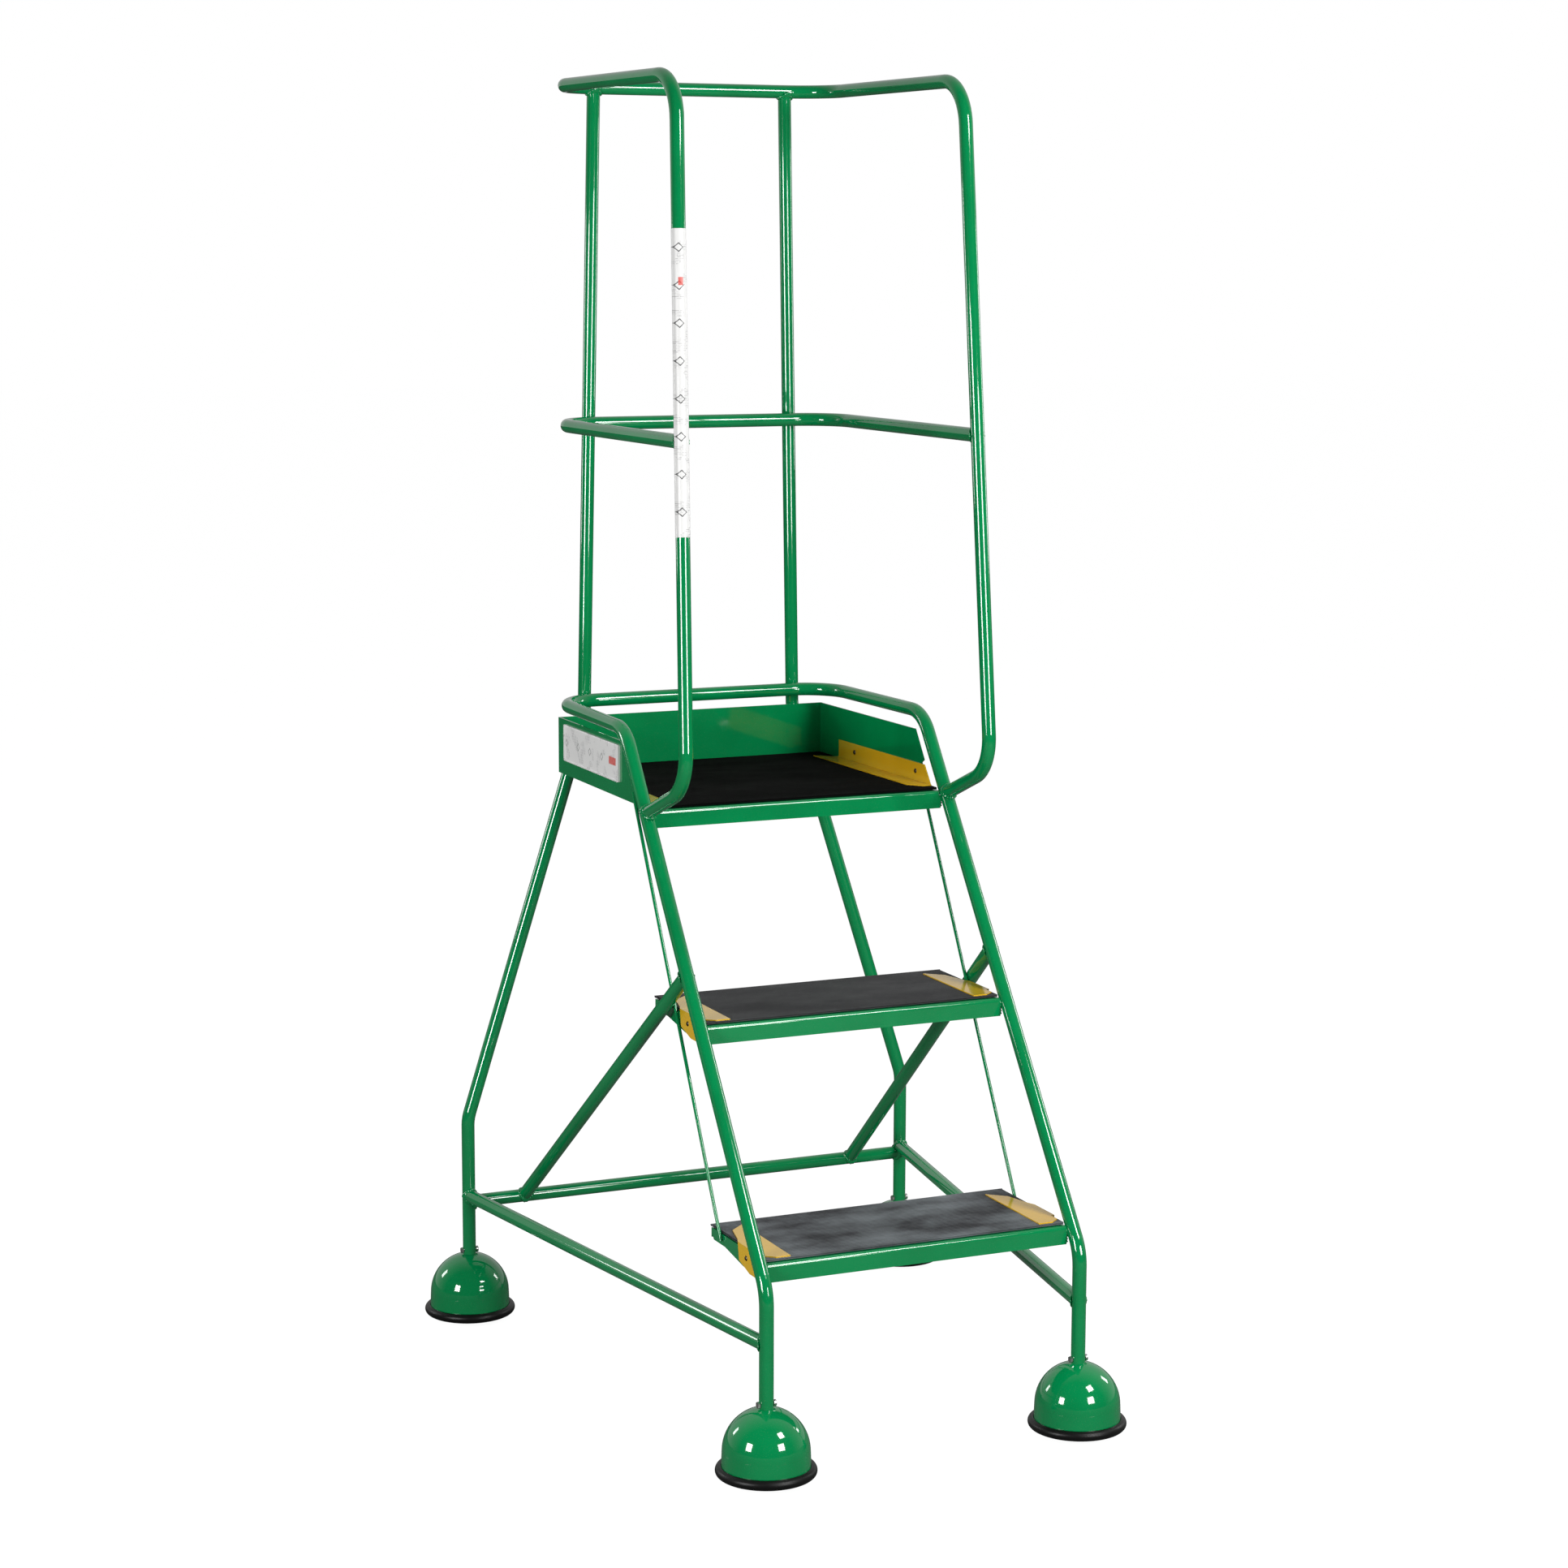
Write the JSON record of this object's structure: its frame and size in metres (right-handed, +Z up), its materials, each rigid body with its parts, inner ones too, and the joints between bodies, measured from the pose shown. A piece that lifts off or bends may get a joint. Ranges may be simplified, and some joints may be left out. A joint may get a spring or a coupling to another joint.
{
  "type": "mobile ladder stand",
  "caption": "Free-standing mobile steps: treads and a railed platform on a tube frame with domed feet that hide sprung castors.",
  "frame": {"origin": "on the floor, midway between the four feet", "axes": "+X to the climber's right, +Y from the treads to the platform's rear, +Z up"},
  "size_m": [0.7886, 0.8786, 1.694],
  "materials": {
    "green_enamel": "gloss enamel",
    "yellow_enamel": "gloss enamel",
    "mat_rubber": "ribbed",
    "ring_rubber": "satin",
    "label": "printed film",
    "zinc": "bright zinc",
    "wheel_plastic": "moulded"
  },
  "bodies": {
    "frame": {"left_stringer": "green_enamel", "right_stringer": "green_enamel", "toe_rail": "green_enamel", "left_rear_leg": "green_enamel", "right_rear_leg": "green_enamel", "left_base_rail": "green_enamel", "right_base_rail": "green_enamel", "rear_base_rail": "green_enamel", "left_brace": "green_enamel", "right_brace": "green_enamel", "left_handrail": "green_enamel", "right_handrail": "green_enamel", "top_rail": "green_enamel", "mid_rail": "green_enamel", "tie_rods": "green_enamel", "platform_tray": "green_enamel", "platform_mat": "mat_rubber", "platform_strips": "yellow_enamel", "tread_1": "green_enamel", "tread_1_mat": "mat_rubber", "tread_1_strips": "yellow_enamel", "tread_2": "green_enamel", "tread_2_mat": "mat_rubber", "tread_2_strips": "yellow_enamel", "strip_screws": "zinc", "upright_label": "label", "side_label": "label", "leg_bolts": "zinc", "front_left_dome": "green_enamel", "front_left_ring": "ring_rubber", "front_left_spring": "zinc", "front_right_dome": "green_enamel", "front_right_ring": "ring_rubber", "front_right_spring": "zinc", "rear_left_dome": "green_enamel", "rear_left_ring": "ring_rubber", "rear_left_spring": "zinc", "rear_right_dome": "green_enamel", "rear_right_ring": "ring_rubber", "rear_right_spring": "zinc"},
    "front_left_slider": {"front_left_stem": "zinc"},
    "front_left_swivel": {"front_left_fork": "zinc", "front_left_axle": "zinc"},
    "front_left_roller": {"front_left_wheel": "wheel_plastic"},
    "front_right_slider": {"front_right_stem": "zinc"},
    "front_right_swivel": {"front_right_fork": "zinc", "front_right_axle": "zinc"},
    "front_right_roller": {"front_right_wheel": "wheel_plastic"},
    "rear_left_slider": {"rear_left_stem": "zinc"},
    "rear_left_swivel": {"rear_left_fork": "zinc", "rear_left_axle": "zinc"},
    "rear_left_roller": {"rear_left_wheel": "wheel_plastic"},
    "rear_right_slider": {"rear_right_stem": "zinc"},
    "rear_right_swivel": {"rear_right_fork": "zinc", "rear_right_axle": "zinc"},
    "rear_right_roller": {"rear_right_wheel": "wheel_plastic"}
  },
  "joints": [
    {"name": "front_left_lift", "type": "slide", "parent": "frame", "child": "front_left_slider", "axis": [0, 0, 1], "range_m": [0, 0.009], "stiffness_N_per_m": 4000, "springref_m": -0.015, "deforming": ["front_left_spring"]},
    {"name": "front_left_swivel", "type": "hinge", "parent": "front_left_slider", "child": "front_left_swivel", "pos_m": [-0.214, -0.377, 0.03], "axis": [0, 0, 1], "continuous": true},
    {"name": "front_left_roll", "type": "hinge", "parent": "front_left_swivel", "child": "front_left_roller", "pos_m": [-0.204, -0.377, 0.013], "axis": [0, 1, 0], "continuous": true},
    {"name": "front_right_lift", "type": "slide", "parent": "frame", "child": "front_right_slider", "axis": [0, 0, 1], "range_m": [0, 0.009], "stiffness_N_per_m": 4000, "springref_m": -0.015, "deforming": ["front_right_spring"]},
    {"name": "front_right_swivel", "type": "hinge", "parent": "front_right_slider", "child": "front_right_swivel", "pos_m": [0.214, -0.377, 0.03], "axis": [0, 0, 1], "continuous": true},
    {"name": "front_right_roll", "type": "hinge", "parent": "front_right_swivel", "child": "front_right_roller", "pos_m": [0.224, -0.377, 0.013], "axis": [0, 1, 0], "continuous": true},
    {"name": "rear_left_lift", "type": "slide", "parent": "frame", "child": "rear_left_slider", "axis": [0, 0, 1], "range_m": [0, 0.009], "stiffness_N_per_m": 4000, "springref_m": -0.015, "deforming": ["rear_left_spring"]},
    {"name": "rear_left_swivel", "type": "hinge", "parent": "rear_left_slider", "child": "rear_left_swivel", "pos_m": [-0.332, 0.377, 0.03], "axis": [0, 0, 1], "continuous": true},
    {"name": "rear_left_roll", "type": "hinge", "parent": "rear_left_swivel", "child": "rear_left_roller", "pos_m": [-0.322, 0.377, 0.013], "axis": [0, 1, 0], "continuous": true},
    {"name": "rear_right_lift", "type": "slide", "parent": "frame", "child": "rear_right_slider", "axis": [0, 0, 1], "range_m": [0, 0.009], "stiffness_N_per_m": 4000, "springref_m": -0.015, "deforming": ["rear_right_spring"]},
    {"name": "rear_right_swivel", "type": "hinge", "parent": "rear_right_slider", "child": "rear_right_swivel", "pos_m": [0.332, 0.377, 0.03], "axis": [0, 0, 1], "continuous": true},
    {"name": "rear_right_roll", "type": "hinge", "parent": "rear_right_swivel", "child": "rear_right_roller", "pos_m": [0.342, 0.377, 0.013], "axis": [0, 1, 0], "continuous": true}
  ]
}
